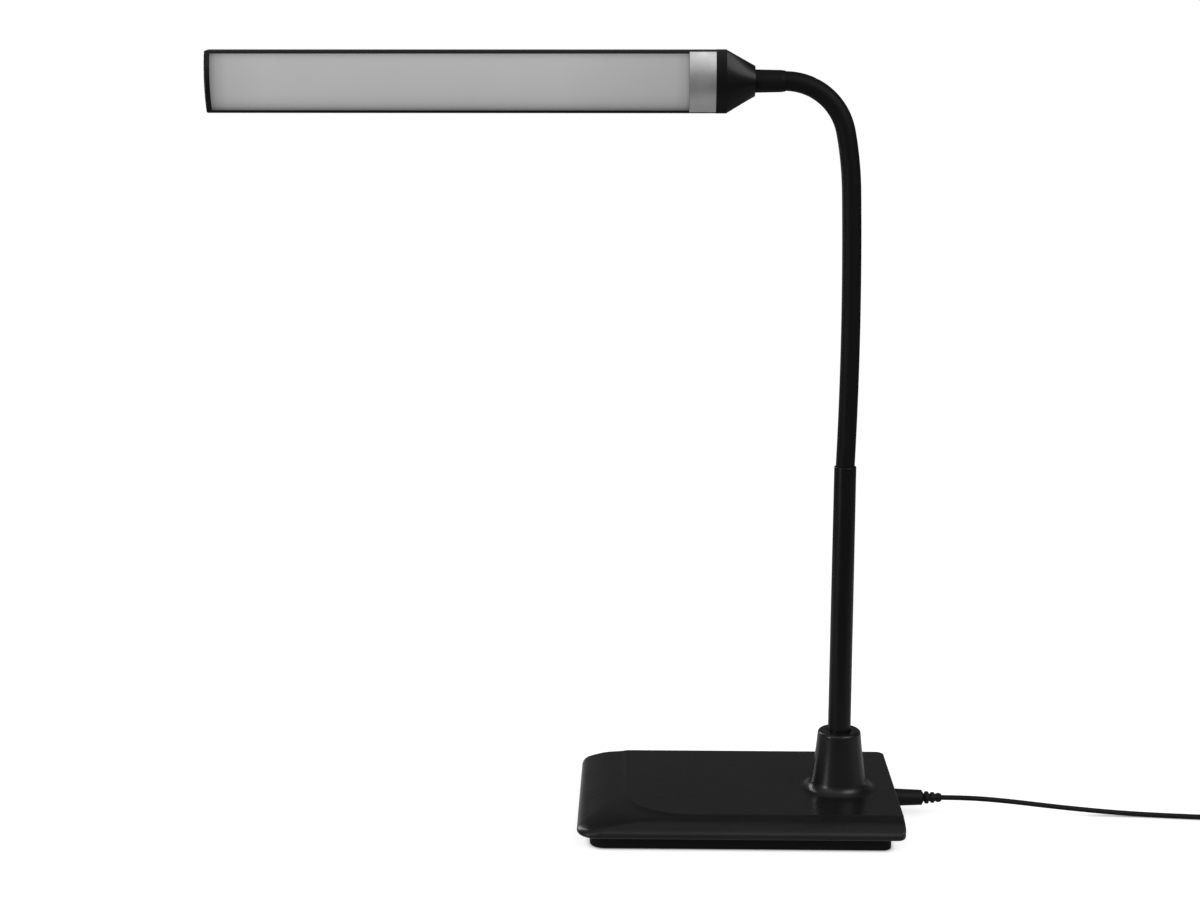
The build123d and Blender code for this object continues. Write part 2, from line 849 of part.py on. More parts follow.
# ---------------------------------------------------------------- head
def head_plane(x):
    """Across the head at x: local x points out of the light, local y up, and the normal towards its free end."""
    tilt = radians(head_tilt)
    return Plane(origin=(x, 0, head_z), x_dir=(0, -cos(tilt), -sin(tilt)), z_dir=(-1, 0, 0))


def head_point(x, out, up):
    """A point of the head from its x and its local distances out of the light and up."""
    place = head_plane(x)
    return place.origin + place.x_dir * out + place.y_dir * up


front_radius = ((head_height / 2) ** 2 + head_bulge**2) / (2 * head_bulge)
front_centre = head_front + head_bulge - front_radius


def front_at(up, offset):
    """How far out the head's convex front stands at a height, offset outwards."""
    return front_centre + ((front_radius + offset) ** 2 - up**2) ** 0.5


def head_section(offset_by=0.0):
    """The head's section: convex front, straight top and bottom, rounder back, grown or drawn in."""
    half = head_height / 2
    with BuildSketch() as section:
        with BuildLine():
            ThreePointArc((head_front, -half), (head_front + head_bulge, 0), (head_front, half))
            Line((head_front, half), (-head_back_edge, half))
            ThreePointArc((-head_back_edge, half), (-head_back, 0), (-head_back_edge, -half))
            Line((-head_back_edge, -half), (head_front, -half))
        make_face()
        fillet(vertices().sort_by(Axis.X)[:2], head_back_round)
        fillet(vertices().sort_by(Axis.X)[-2:], head_front_round)
        if offset_by:
            offset(amount=offset_by, mode=Mode.REPLACE)
    return section.sketch


def rear_channel(inset):
    """The part of the section's inside that lies behind the light board's ledges."""
    with BuildSketch() as channel:
        add(head_section(-inset))
        with Locations((ledge_front - ledge_thickness - ledge_gap + head_height / 2, 0)):
            Rectangle(head_height, 2 * head_height, mode=Mode.SUBTRACT)
    return channel.sketch


def front_skin(half, outer, inner):
    """A strip that follows the convex front between two offsets from it."""
    inside = front_at(half, inner)
    outside = front_at(half, outer)
    with BuildSketch() as skin:
        with BuildLine():
            Line((outside, half), (inside, half))
            ThreePointArc((inside, half), (front_at(0, inner), 0), (inside, -half))
            Line((inside, -half), (outside, -half))
            ThreePointArc((outside, -half), (front_at(0, outer), 0), (outside, half))
        make_face()
    return skin.sketch


def light_plane(x, out):
    """Facing out of the light, along the head from x, with local x towards its free end."""
    return Plane(origin=head_point(x, out, 0), x_dir=(-1, 0, 0), z_dir=head_plane(x).x_dir)


with BuildPart() as swivel_nut:
    with BuildSketch(head_plane(nut_right)):
        RegularPolygon(swivel_nut_width / 2, 6, major_radius=False)
        Circle(spindle_diameter / 2, mode=Mode.SUBTRACT)
    extrude(amount=swivel_nut_height)
keep(swivel_nut, "swivel_nut")

with BuildPart() as head_cone:
    with BuildSketch(head_plane(tip_x)):
        Circle(cone_tip_diameter / 2)
    with BuildSketch(head_plane(flange_x)):
        add(head_section())
    loft(ruled=True)
    with BuildSketch(head_plane(flange_x)):
        add(head_section(flange_proud))
    extrude(amount=flange_length)
    with BuildSketch(head_plane(band_x)):
        add(head_section())
    extrude(amount=band_length)
    with BuildSketch(head_plane(bar_x)):
        add(rear_channel(head_wall + spigot_gap))
    extrude(amount=spigot_length)
    # hollow: a tapering room for the swivel nut, a room behind the touch plate and the spigot's bore
    with BuildSketch(head_plane(tip_x - cone_tip_wall)):
        Circle(cone_tip_diameter / 2 - cone_wall)
    with BuildSketch(head_plane(flange_x)):
        add(head_section(-cone_wall))
    loft(ruled=True, mode=Mode.SUBTRACT)
    with BuildSketch(head_plane(flange_x)):
        add(head_section(-cone_wall - plate_thickness))
    extrude(amount=flange_length + band_length - cone_wall, mode=Mode.SUBTRACT)
    with BuildSketch(head_plane(bar_x + cone_wall)):
        add(rear_channel(head_wall + spigot_gap + spigot_wall))
    extrude(amount=cone_wall + spigot_length, mode=Mode.SUBTRACT)
    # swivel bore, seat of the touch plate, window for its contact and posts for the touch board
    with BuildSketch(head_plane(tip_x)):
        Circle(spindle_diameter / 2 + swivel_radial_gap)
    extrude(amount=cone_tip_wall, mode=Mode.SUBTRACT)
    with BuildSketch(head_plane(band_x)):
        add(front_skin(plate_half, plate_thickness, plate_proud - plate_thickness))
    extrude(amount=band_length, mode=Mode.SUBTRACT)
    with BuildSketch(light_plane(contact_x, touch_board_front)):
        Circle(contact_diameter / 2 + screw_gap)
    extrude(amount=head_height / 2, mode=Mode.SUBTRACT)
    with BuildSketch(head_plane(band_x)):
        with Locations((touch_post_middle, touch_board_height / 2), (touch_post_middle, -touch_board_height / 2)):
            Rectangle(touch_post_depth, touch_post_width)
    extrude(amount=band_length - cone_wall)
    with BuildSketch(light_plane(head_screw_x[0], -head_back)):
        Circle(board_screw_diameter / 2)
    extrude(amount=head_wall + head_screw_boss, mode=Mode.SUBTRACT)
keep(head_cone, "head_cone")

with BuildPart() as touch_plate:
    with BuildSketch(head_plane(band_x)):
        add(front_skin(plate_half, plate_proud, plate_proud - plate_thickness))
    extrude(amount=band_length)
    chamfer(faces().filter_by(Axis.X).edges().filter_by(lambda e: e.length > plate_half), plate_chamfer)
keep(touch_plate, "touch_plate")

with BuildPart() as touch_board:
    with BuildSketch(light_plane(contact_x, touch_board_front - touch_board_thickness)):
        Rectangle(touch_board_length, touch_board_height)
    extrude(amount=touch_board_thickness)
keep(touch_board, "touch_board")

with BuildPart() as touch_contact:
    with BuildSketch(light_plane(contact_x, touch_board_front)):
        Circle(contact_diameter / 2)
    extrude(amount=front_at(contact_diameter / 2, plate_proud - plate_thickness) - touch_board_front)
keep(touch_contact, "touch_contact")

with BuildPart() as head_shell:
    with BuildSketch(head_plane(bar_x)):
        add(head_section())
    extrude(amount=bar_length)
    with BuildSketch(head_plane(bar_x)):
        add(head_section(-head_wall))
        with Locations((head_height / 2 + ledge_front, 0)):
            Rectangle(head_height, 2 * channel_half)
        # grooves that the diffuser's legs snap into
        with Locations((snap_depth, 0)):
            Rectangle(snap_height, 2 * (channel_half + snap_groove))
    extrude(amount=bar_length, mode=Mode.SUBTRACT)
    # ledges that carry the light board, and pillars for its screws
    with BuildSketch(head_plane(bar_x)):
        with Locations((ledge_front - ledge_thickness / 2, 0)):
            with GridLocations(0, 2 * channel_half - ledge_width, 1, 2):
                Rectangle(ledge_thickness, ledge_width)
    extrude(amount=bar_length)
    for screw_x in led_screw_x:
        with BuildSketch(light_plane(screw_x, -head_back + head_wall / 2)):
            Circle(led_pillar_diameter / 2)
        extrude(amount=head_back - head_wall / 2 + ledge_front)
        with BuildSketch(light_plane(screw_x, ledge_front)):
            Circle(board_screw_diameter / 2)
        extrude(amount=led_board_thickness - board_screw_length, mode=Mode.SUBTRACT)
    for screw_x in head_screw_x:
        with BuildSketch(light_plane(screw_x, -head_back)):
            Circle(board_screw_diameter / 2)
        extrude(amount=head_wall + head_screw_boss, mode=Mode.SUBTRACT)
        with BuildSketch(light_plane(screw_x, -head_back)):
            Circle(board_screw_head / 2 + screw_gap)
        extrude(amount=head_screw_sink, mode=Mode.SUBTRACT)
keep(head_shell, "head_shell")

with BuildPart() as diffuser:
    with BuildSketch(head_plane(bar_x)):
        add(front_skin(channel_half, diffuser_proud, diffuser_proud - diffuser_thickness))
        with Locations((leg_middle, 0)):
            with GridLocations(0, 2 * channel_half - diffuser_thickness, 1, 2):
                Rectangle(diffuser_leg, diffuser_thickness)
        with Locations((snap_depth, 0)):
            with GridLocations(0, 2 * channel_half, 1, 2):
                Rectangle(snap_height - 2 * snap_gap, 2 * (snap_groove - snap_gap))
    extrude(amount=bar_length)
keep(diffuser, "diffuser")

board_x = bar_x - led_board_end_gap
led_board_length = bar_length - 2 * led_board_end_gap
with BuildPart() as led_board:
    with BuildSketch(light_plane(board_x - led_board_length / 2, ledge_front)):
        Rectangle(led_board_length, 2 * (channel_half - led_board_margin))
        with Locations([(board_x - led_board_length / 2 - screw_x, 0) for screw_x in led_screw_x]):
            Circle(board_screw_diameter / 2 + screw_gap, mode=Mode.SUBTRACT)
    extrude(amount=led_board_thickness)
keep(led_board, "led_board")

with BuildPart() as leds:
    with BuildSketch(light_plane(board_x - led_board_length / 2, ledge_front + led_board_thickness)):
        with GridLocations(led_pitch, led_row_spacing, leds_per_row, led_rows):
            Rectangle(led_length, led_width)
    extrude(amount=led_height)
keep(leds, "leds")

with BuildPart() as led_board_screws:
    for screw_x in led_screw_x:
        with BuildSketch(light_plane(screw_x, ledge_front + led_board_thickness)):
            Circle(board_screw_diameter / 2)
        extrude(amount=-board_screw_length)
        with BuildSketch(light_plane(screw_x, ledge_front + led_board_thickness)):
            Circle(board_screw_head / 2)
        extrude(amount=board_screw_head_height)
keep(led_board_screws, "led_board_screws")

with BuildPart() as end_cap:
    with BuildSketch(head_plane(cap_x)):
        add(head_section())
    extrude(amount=cap_length)
    fillet(faces().sort_by(Axis.X)[0].edges(), cap_round)
    with BuildSketch(head_plane(cap_x + cap_spigot_length)):
        add(rear_channel(head_wall + spigot_gap))
    extrude(amount=cap_spigot_length)
    with BuildSketch(head_plane(cap_x + cap_spigot_length)):
        add(rear_channel(head_wall + spigot_gap + spigot_wall))
    extrude(amount=cap_spigot_length, mode=Mode.SUBTRACT)
    with BuildSketch(light_plane(head_screw_x[1], -head_back)):
        Circle(board_screw_diameter / 2)
    extrude(amount=head_wall + head_screw_boss, mode=Mode.SUBTRACT)
keep(end_cap, "end_cap")

with BuildPart() as head_screws:
    for screw_x in head_screw_x:
        with BuildSketch(light_plane(screw_x, -head_back + head_screw_sink)):
            Circle(board_screw_diameter / 2)
        extrude(amount=head_wall + spigot_wall - head_screw_sink)
        with BuildSketch(light_plane(screw_x, -head_back + head_screw_sink)):
            Circle(board_screw_head / 2)
        extrude(amount=-head_screw_sink)
keep(head_screws, "head_screws")


# ---------------------------------------------------------------- wiring
lean_radius = (first_pivot_z - tube_top) / sin(radians(bow_angle / 2))
with BuildPart() as neck_wire:
    with BuildLine(Plane.XZ) as wire_path:
        lean = JernArc((post_x, tube_top), (0, 1), lean_radius, -bow_angle / 2)
        bow = JernArc(lean @ 1, lean % 1, bow_radius, bow_angle)
        wide = JernArc(bow @ 1, bow % 1, wide_arc_radius, wide_arc_angle)
        tight = JernArc(wide @ 1, wide % 1, tight_arc_radius, tight_arc_angle)
        Line(tight @ 1, (neck_end, head_z))
    with BuildSketch(Plane(origin=(post_x, 0, tube_top), z_dir=(0, 0, 1))):
        Circle(wire_diameter / 2)
    sweep(path=wire_path.wire())
keep(neck_wire, "neck_wire")

connector_left = connector_x - connector_width / 2
connector_middle_z = board_top + connector_height / 2
base_wire_route = [
    (connector_left, connector_y, connector_middle_z),
    (connector_left - base_wire_run, connector_y, connector_middle_z),
    *[(post_x + x, y, floor_top + z) for x, y, z in base_wire_bends],
    (post_x, 0.0, floor_top + wire_rise),
    (post_x, 0.0, tube_top),
]
keep(tube_along(base_wire_route, wire_diameter), "base_wire")

head_wire_route = [
    head_point(neck_end, 0, 0),
    *[head_point(spindle_left - along, out, 0) for along, out in head_wire_bends],
    head_point(board_x - head_wire_on_board, ledge_front - wire_diameter / 2, 0),
]
keep(tube_along(head_wire_route, wire_diameter), "head_wire")


# ---------------------------------------------------------------- power lead
keep(tube_along(lead_route, cord_diameter), "lead_cord")
keep(tube_along(tail_route, cord_diameter), "lead_tail")

with BuildPart() as lead_coil:
    with BuildSketch(Plane(origin=(coil_x, coil_y, 0), x_dir=(1, 0, 0), z_dir=(0, -1, 0))):
        with Locations((coil_radius, coil_layers * cord_diameter / 2)):
            RectangleRounded(coil_columns * cord_diameter, coil_layers * cord_diameter, coil_edge_round)
    revolve(axis=Axis((coil_x, coil_y, 0), (0, 0, 1)))
keep(lead_coil, "lead_coil")

adapter_x, adapter_y, adapter_z = tail_route[-1]
case_x = adapter_x + adapter_relief_length
with BuildPart() as adapter_case:
    with BuildSketch(Plane(origin=(case_x, adapter_y, 0), x_dir=(0, 1, 0), z_dir=(1, 0, 0))):
        with Locations((0, adapter_height / 2)):
            RectangleRounded(adapter_width, adapter_height, adapter_round)
    extrude(amount=adapter_length)
    fillet(faces().filter_by(Axis.X).edges(), adapter_edge_round)
    with BuildSketch(Plane(origin=(adapter_x, adapter_y, adapter_z), x_dir=(0, 1, 0), z_dir=(1, 0, 0))):
        Circle(adapter_relief_diameter / 2)
    extrude(amount=adapter_relief_length, taper=-adapter_relief_taper)
    with BuildSketch(Plane(origin=(case_x + adapter_length, adapter_y, 0), x_dir=(0, 1, 0), z_dir=(1, 0, 0))):
        with Locations((0, adapter_height / 2)):
            with GridLocations(prong_spacing, 0, 2, 1):
                Rectangle(prong_thickness, prong_width)
    extrude(amount=-prong_root, mode=Mode.SUBTRACT)
keep(adapter_case, "adapter_case")

with BuildPart() as adapter_prongs:
    with BuildSketch(
        Plane(origin=(case_x + adapter_length - prong_root, adapter_y, 0), x_dir=(0, 1, 0), z_dir=(1, 0, 0))
    ):
        with Locations((0, adapter_height / 2)):
            with GridLocations(prong_spacing, 0, 2, 1):
                Rectangle(prong_thickness, prong_width)
    extrude(amount=prong_root + prong_length)
    chamfer(faces().sort_by(Axis.X)[-2:].edges(), prong_chamfer)
keep(adapter_prongs, "adapter_prongs")

turns = coil_columns * coil_layers
coiled = 2 * pi * coil_radius * turns
print(f"{len(pieces)} nodes; coil of {turns} turns holds {coiled:.0f} mm of cord")
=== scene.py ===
"""Gooseneck desk lamp: materials, smooth neck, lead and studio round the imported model. Metres, row frame."""

from math import acos, cos, pi, radians, sin, sqrt, tan

import bmesh
import bpy
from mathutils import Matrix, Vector


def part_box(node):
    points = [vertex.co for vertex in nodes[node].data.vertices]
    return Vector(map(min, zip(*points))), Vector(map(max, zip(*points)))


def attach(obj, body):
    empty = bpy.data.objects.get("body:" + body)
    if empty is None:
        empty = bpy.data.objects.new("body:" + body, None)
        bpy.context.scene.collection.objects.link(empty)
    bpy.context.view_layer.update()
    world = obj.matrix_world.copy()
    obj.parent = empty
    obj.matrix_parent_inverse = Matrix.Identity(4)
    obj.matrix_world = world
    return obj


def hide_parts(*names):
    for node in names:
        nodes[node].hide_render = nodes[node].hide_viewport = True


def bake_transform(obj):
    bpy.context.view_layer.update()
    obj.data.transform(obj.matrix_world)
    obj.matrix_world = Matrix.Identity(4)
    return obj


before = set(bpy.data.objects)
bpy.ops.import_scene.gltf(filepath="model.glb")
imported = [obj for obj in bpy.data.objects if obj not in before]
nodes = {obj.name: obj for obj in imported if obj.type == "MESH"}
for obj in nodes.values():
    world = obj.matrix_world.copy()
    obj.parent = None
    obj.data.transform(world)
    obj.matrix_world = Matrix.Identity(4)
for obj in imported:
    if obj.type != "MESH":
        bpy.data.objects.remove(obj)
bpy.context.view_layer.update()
scene = bpy.context.scene
collection = scene.collection
MM = 0.001


def mm(*numbers):
    """A point given in millimetres, as metres."""
    return Vector(numbers) * MM


# ---------------------------------------------------------------- camera
lens_data = bpy.data.cameras.new("camera")
lens_data.lens = 63.2
lens_data.sensor_width = 36.0
lens_data.clip_end = 60.0
camera = bpy.data.objects.new("camera", lens_data)
camera.location = (-0.05634, -1.20071, 0.46079)
camera.rotation_euler = (radians(78.799), 0.0, radians(1.222))
collection.objects.link(camera)
scene.camera = camera


# ---------------------------------------------------------------- power lead
CORD = 3.0
lead_route = [
    (122.2, 0.0, 11.8),
    (138.0, 0.0, 11.8),
    (162.0, -0.8, 10.2),
    (194.0, 1.4, 5.6),
    (232.0, 3.0, 1.5),
    (272.0, -1.8, 1.5),
    (308.0, -4.0, 1.5),
    (331.0, -0.6, 1.5),
]
tail_route = [
    (373.0, 1.5, 8.2),
    (396.0, 5.5, 2.0),
    (420.0, 10.0, 1.5),
    (442.0, 12.0, 5.5),
    (460.0, 12.0, 13.0),
    (478.0, 12.0, 13.0),
]
coil_centre = (352.0, 20.0)
coil_radii = (19.5, 16.5, 13.5)
coil_layers = 4
points_per_turn = 18
shift_angle = radians(40)


def coil_places():
    """Radius and height of each turn, in and out and up from the outside of the lowest layer."""
    places = []
    for layer in range(coil_layers):
        radii = coil_radii if layer % 2 == 0 else coil_radii[::-1]
        places += [(radius, CORD / 2 + layer * CORD) for radius in radii]
    return places


def coil_route():
    """Points round the coil. Each turn steps to its next place earlier than the turns under it."""
    places = coil_places()
    columns = len(coil_radii)
    outside = 1 / cos(pi / points_per_turn)
    points = []
    for number in range(len(places) * points_per_turn + 1):
        angle = number * 2 * pi / points_per_turn
        turn = min(int(angle / (2 * pi) + 1e-9), len(places) - 1)
        radius, height = places[turn]
        if turn < len(places) - 1:
            zone = 2 * (turn // columns) + (turn % columns == columns - 1)
            step_end = 2 * pi * (turn + 1) - zone * shift_angle
            share = min(max((angle - step_end) / shift_angle + 1, 0), 1)
            radius += (places[turn + 1][0] - radius) * share
            height += (places[turn + 1][1] - height) * share
        across = angle - pi / 2
        points.append(
            (
                coil_centre[0] + radius * outside * cos(across),
                coil_centre[1] + radius * outside * sin(across),
                height,
            )
        )
    return points


def cord_curve(name, route, diameter):
    """A round cord as one smooth spline with the route's points as its control points.

    The size is in the points' radius, because a curve's bounding box reaches that far past its points.
    """
    curve = bpy.data.curves.new(name, "CURVE")
    curve.dimensions = "3D"
    curve.bevel_depth = 1.0
    curve.bevel_resolution = 4
    curve.use_fill_caps = True
    spline = curve.splines.new("NURBS")
    spline.points.add(len(route) - 1)
    for point, place in zip(spline.points, route):
        point.co = (*mm(*place), 1.0)
        point.radius = diameter / 2 * MM
    spline.order_u = 3
    spline.use_endpoint_u = True
    spline.resolution_u = 5
    cord = bpy.data.objects.new(name, curve)
    collection.objects.link(cord)
    return cord


lead = cord_curve("power_lead", lead_route + coil_route() + tail_route, CORD)
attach(lead, "base")
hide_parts("lead_cord", "lead_coil", "lead_tail")


# ---------------------------------------------------------------- neck
POST_X = 60.5
NECK_FOOT = 214.05
FIRST_PIVOT = 215.993
BOW_TOP = 372.2
BOW_TURN = radians(3.74)
WIDE_TURN = radians(9.44)
TIGHT_TURN = radians(90) - BOW_TURN / 2 - WIDE_TURN
BOW_RADIUS = (BOW_TOP - FIRST_PIVOT) / (2 * sin(BOW_TURN / 2))
WIDE_RADIUS = 206.0
TIGHT_RADIUS = 35.3
ARCS = ((BOW_RADIUS, BOW_TURN, 5), (WIDE_RADIUS, WIDE_TURN, 2), (TIGHT_RADIUS, TIGHT_TURN, 3))
SLEEVE_RADIUS = 5.5
HOSE_RADIUS = 4.0
SLEEVE_BORE_RADIUS = HOSE_RADIUS + 0.02
BORE_RADIUS = 2.4
WIRE_RADIUS = 1.0
WIRE_BELOW = 9.0
WIRE_BEYOND = 8.9


def arc_point(x, z, heading, radius, distance):
    """Where an arc that starts at x, z is after a distance, and its heading from upright there."""
    turned = heading + distance / radius
    return (
        x - radius * (cos(heading) - cos(turned)),
        z + radius * (sin(turned) - sin(heading)),
        turned,
    )


def neck_arcs():
    """Start x, z and heading, radius and length of each arc, and each pivot's distance along the neck."""
    arcs, pivots, done = [], [], 0.0
    x, z, heading = POST_X, FIRST_PIVOT, -BOW_TURN / 2
    for radius, turn, joints in ARCS:
        length = radius * turn
        arcs.append((x, z, heading, radius, length))
        pivots += [done + length * joint / joints for joint in range(joints)]
        x, z, heading = arc_point(x, z, heading, radius, length)
        done += length
    return arcs, pivots, done


NECK_ARCS, PIVOTS, NECK_LENGTH = neck_arcs()
MIDDLES = [(low + high) / 2 for low, high in zip(PIVOTS, PIVOTS[1:])]
LINKS = ["base"] + [f"neck_link_{number}" for number in range(1, 11)]
SIDE = Vector((0, 1, 0))
FACETS = 32
FACET_ANGLES = [2 * pi * facet / FACETS for facet in range(FACETS)]
RING_STEP = 1.6

# The share of a tube's length in from its ends at which neck_tubes finds a near and a far point; nothing uses
# these points.
BLEND_MARGIN = 0.15
# neck_tubes singles out this joint, but bakes its tube in place like the others. At the last joint two rigid
# pieces meet in a dome and a seat, with room for the bend in the rims.
FAR_TO_NEAR_JOINT = 8
LAST_PIVOT = PIVOTS[-1]
RIM_LEAN_INSIDE = radians(2.2)
RIM_LEAN_OUTSIDE = radians(9.2)
RIM_REACH = 1.3
DOME_GAP = 0.08
DOME_STEPS = 9
DOME_TIP = radians(88)
HOSE_SHORT_OF_PIVOT = 1.0
HOSE_PAST_DOME = 0.1


def on_neck(distance):
    """The neck's centre point and direction at a distance past its first pivot, straight beyond its ends."""
    beyond = min(distance, 0) + max(distance - NECK_LENGTH, 0)
    distance -= beyond
    for x, z, heading, radius, length in NECK_ARCS:
        if distance <= length:
            break
        distance -= length
    x, z, heading = arc_point(x, z, heading, radius, min(distance, length))
    along = Vector((-sin(heading), 0, cos(heading)))
    return Vector((x, 0, z)) + along * beyond, along


def radials(along):
    """Directions across the neck, evenly round it. Where the sine is above zero is the inside of the bend."""
    across = along.cross(SIDE)
    return [SIDE * cos(angle) + across * sin(angle) for angle in FACET_ANGLES]


def ring(distance, radius):
    """Points round the neck's centre line at a distance along it."""
    centre, along = on_neck(distance)
    return [centre + radial * radius for radial in radials(along)]


def spread(start, end):
    """Distances from start to end, about a ring step apart."""
    count = max(4, round((end - start) / RING_STEP))
    return [start + (end - start) * number / count for number in range(count + 1)]


def lean(angle):
    """The rim's greatest lean back from the last pivot's plane, and this angle's share of it."""
    limit = RIM_LEAN_INSIDE if sin(angle) > 0 else RIM_LEAN_OUTSIDE
    return limit, abs(sin(angle))


def rim(radius):
    """The dome tube's edge at the last pivot."""
    centre, along = on_neck(LAST_PIVOT)
    points = []
    for angle, radial in zip(FACET_ANGLES, radials(along)):
        limit, share = lean(angle)
        points.append(centre + radial * radius - along * radius * share * tan(limit))
    return points


def ball(radius, inner, sense):
    """Rings of a ball round the last pivot, from the rim on the side of sense, up to the bore or the tip."""
    centre, along = on_neck(LAST_PIVOT)
    last = acos(inner / radius) if inner else DOME_TIP
    rings = []
    for number in range(DOME_STEPS + 1):
        points = []
        for angle, radial in zip(FACET_ANGLES, radials(along)):
            limit, share = lean(angle)
            first = sense * share * limit
            turn = first + (last - first) * number / DOME_STEPS
            points.append(centre + (radial * cos(turn) + along * sin(turn)) * radius)
        rings.append(points)
    return rings


def new_mesh(name, mesh, crease=radians(40)):
    """An object from a bmesh, smooth except where it turns by more than the crease angle."""
    data = bpy.data.meshes.new(name)
    mesh.to_mesh(data)
    mesh.free()
    for face in data.polygons:
        face.use_smooth = True
    data.set_sharp_from_angle(angle=crease)
    made = bpy.data.objects.new(name, data)
    collection.objects.link(made)
    return made


def loft(name, rings, closed):
    """A surface through rings of points, joined up last to first if closed, else with a face at each end."""
    mesh = bmesh.new()
    rows = [[mesh.verts.new(point * MM) for point in points] for points in rings]
    for low, high in zip(rows, rows[1:] + rows[:1] if closed else rows[1:]):
        for facet in range(FACETS):
            follow = (facet + 1) % FACETS
            mesh.faces.new((low[facet], low[follow], high[follow], high[facet]))
    if not closed:
        mesh.faces.new(rows[0])
        mesh.faces.new(rows[-1])
    bmesh.ops.recalc_face_normals(mesh, faces=mesh.faces)
    return new_mesh(name, mesh)


def walls(places, outer, inner):
    """Rings of the outside from first place to last, and of the bore back again where there is one."""
    outside = [ring(place, outer) for place in places]
    inside = [ring(place, inner) for place in reversed(places)] if inner else []
    return outside, inside


def tube_mesh(name, start, end, outer, inner):
    """A length of tube along the neck's centre line, solid where it has no inner radius."""
    outside, inside = walls(spread(start, end), outer, inner)
    return loft(name, outside + inside, closed=bool(inner))


def dome_mesh(name, start, outer, inner):
    """A tube that ends in a dome round the last pivot."""
    outside, inside = walls(spread(start, LAST_PIVOT - RIM_REACH), outer, inner)
    dome = ball(outer - DOME_GAP, inner, -1)
    return loft(name, outside + [rim(outer)] + dome + inside, closed=bool(inner))


def seat_mesh(name, end, outer, inner):
    """A tube that starts with a hollow seat for the dome."""
    past_seat = LAST_PIVOT + sqrt(outer**2 - inner**2) + RIM_REACH
    outside, inside = walls(spread(past_seat, end), outer, inner)
    round_seat = [ring(place, outer) for place in spread(LAST_PIVOT + RIM_REACH, past_seat)[:-1]]
    seat = ball(outer, inner, 1)[::-1]
    return loft(name, seat + round_seat + outside + inside, closed=bool(inner))


def neck_tubes(name, outer, inner, replaced, below=FIRST_PIVOT - NECK_FOOT):
    """One tube for each joint but the last, from mid link to mid link, each baked in place where it is built.
    """
    tubes = []
    for number, (start, end) in enumerate(zip([-below] + MIDDLES, MIDDLES), 1):
        tube = tube_mesh(f"{name}_{number}", start, end, outer, inner)
        margin = BLEND_MARGIN * (end - start)
        near = on_neck(start + margin)[0] * MM
        far = on_neck(end - margin)[0] * MM
        if number == FAR_TO_NEAR_JOINT:
            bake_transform(tube)
        else:
            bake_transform(tube)
        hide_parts(replaced.format(number))
        tubes.append(tube)
    return tubes


def last_tubes(replaced, near, far):
    """The two rigid pieces that meet at the last pivot."""
    for piece, link in ((near, 9), (far, 10)):
        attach(piece, LINKS[link])
        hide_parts(replaced.format(link))
    return [near, far]


sleeves = neck_tubes("sleeve", SLEEVE_RADIUS, SLEEVE_BORE_RADIUS, "neck_sleeve_{}")
sleeves += last_tubes(
    "neck_sleeve_{}",
    dome_mesh("sleeve_10", MIDDLES[-1], SLEEVE_RADIUS, SLEEVE_BORE_RADIUS),
    seat_mesh("sleeve_11", NECK_LENGTH, SLEEVE_RADIUS, SLEEVE_BORE_RADIUS),
)
hoses = neck_tubes("hose", HOSE_RADIUS, BORE_RADIUS, "neck_hose_{}")
hose_start = LAST_PIVOT + SLEEVE_RADIUS + HOSE_PAST_DOME
hoses += last_tubes(
    "neck_hose_{}",
    tube_mesh("hose_10", MIDDLES[-1], LAST_PIVOT - HOSE_SHORT_OF_PIVOT, HOSE_RADIUS, BORE_RADIUS),
    tube_mesh("hose_11", hose_start, NECK_LENGTH, HOSE_RADIUS, BORE_RADIUS),
)
wire_below = FIRST_PIVOT - NECK_FOOT + WIRE_BELOW
wires = neck_tubes("wire", WIRE_RADIUS, 0.0, "neck_wire", wire_below)
wires += last_tubes(
    "neck_wire",
    dome_mesh("wire_10", MIDDLES[-1], WIRE_RADIUS, 0.0),
    seat_mesh("wire_11", NECK_LENGTH + WIRE_BEYOND, WIRE_RADIUS, 0.0),
)


# ---------------------------------------------------------------- materials
def linear(level):
    """A grey or colour written as sRGB 0 to 255, as linear RGBA."""
    levels = (level, level, level) if isinstance(level, (int, float)) else level
    out = []
    for v in levels:
        v = v / 255
        out.append(v / 12.92 if v <= 0.04045 else ((v + 0.055) / 1.055) ** 2.4)
    return (*out, 1.0)


